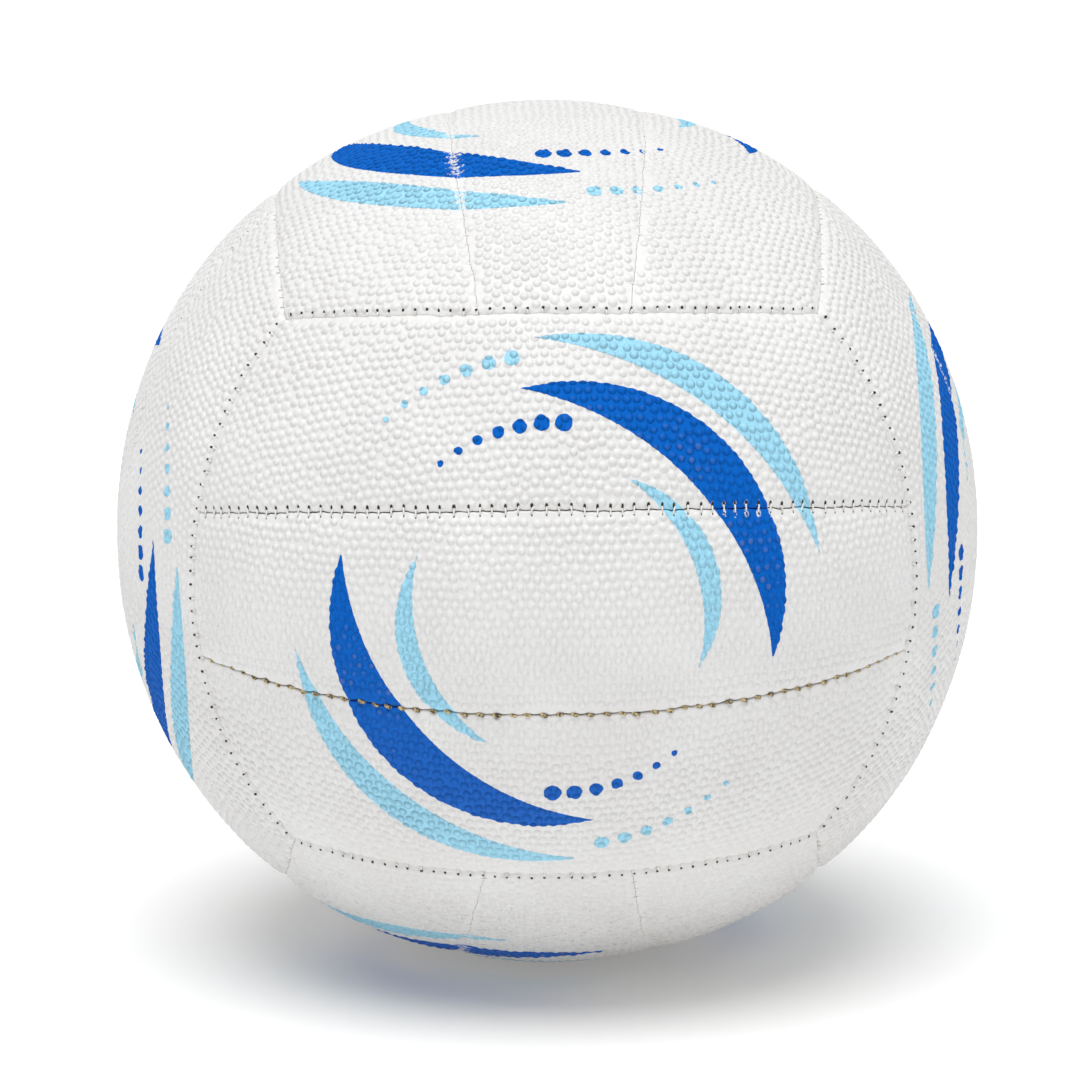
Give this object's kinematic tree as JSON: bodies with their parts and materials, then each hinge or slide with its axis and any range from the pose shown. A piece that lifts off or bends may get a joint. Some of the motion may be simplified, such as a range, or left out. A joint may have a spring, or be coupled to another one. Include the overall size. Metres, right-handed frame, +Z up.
{
  "type": "netball",
  "caption": "Inflated netball: pebbled white panels stitched in six faces of parallel strips, cloth linings, an air bladder and a recessed needle valve.",
  "frame": {"origin": "centre of the ball", "axes": "+Z up; the front face, whose strips run level, looks along -Y; the top face's strips run along Y; +Y is the side that carries the valve"},
  "size_m": [0.2228, 0.2228, 0.2228],
  "materials": {
    "cover": "satin pebbled synthetic leather",
    "lining": "woven cotton and polyester cloth",
    "thread": "waxed polyester thread",
    "bladder": "smooth butyl rubber",
    "valve": "matte moulded rubber"
  },
  "bodies": {
    "root": {"cover_front_lower": "cover", "cover_front_middle": "cover", "cover_front_upper": "cover", "cover_back_lower": "cover", "cover_back_middle": "cover", "cover_back_upper": "cover", "cover_left_front": "cover", "cover_left_middle": "cover", "cover_left_rear": "cover", "cover_right_rear": "cover", "cover_right_middle": "cover", "cover_right_front": "cover", "cover_top_right": "cover", "cover_top_middle": "cover", "cover_top_left": "cover", "cover_bottom_left": "cover", "cover_bottom_middle": "cover", "cover_bottom_right": "cover", "lining_front_lower": "lining", "lining_front_middle": "lining", "lining_front_upper": "lining", "lining_back_lower": "lining", "lining_back_middle": "lining", "lining_back_upper": "lining", "lining_left_front": "lining", "lining_left_middle": "lining", "lining_left_rear": "lining", "lining_right_rear": "lining", "lining_right_middle": "lining", "lining_right_front": "lining", "lining_top_right": "lining", "lining_top_middle": "lining", "lining_top_left": "lining", "lining_bottom_left": "lining", "lining_bottom_middle": "lining", "lining_bottom_right": "lining", "edge_thread_front_lower": "thread", "edge_thread_front_upper": "thread", "edge_thread_back_lower": "thread", "edge_thread_back_upper": "thread", "edge_thread_left_front": "thread", "edge_thread_left_rear": "thread", "edge_thread_right_rear": "thread", "edge_thread_right_front": "thread", "edge_thread_top_right": "thread", "edge_thread_top_left": "thread", "edge_thread_bottom_left": "thread", "edge_thread_bottom_right": "thread", "strip_threads_front": "thread", "strip_threads_back": "thread", "strip_threads_left": "thread", "strip_threads_right": "thread", "strip_threads_top": "thread", "strip_threads_bottom": "thread", "bladder": "bladder", "valve_housing": "valve", "valve_core": "valve", "valve_patch": "lining"}
  },
  "joints": []
}
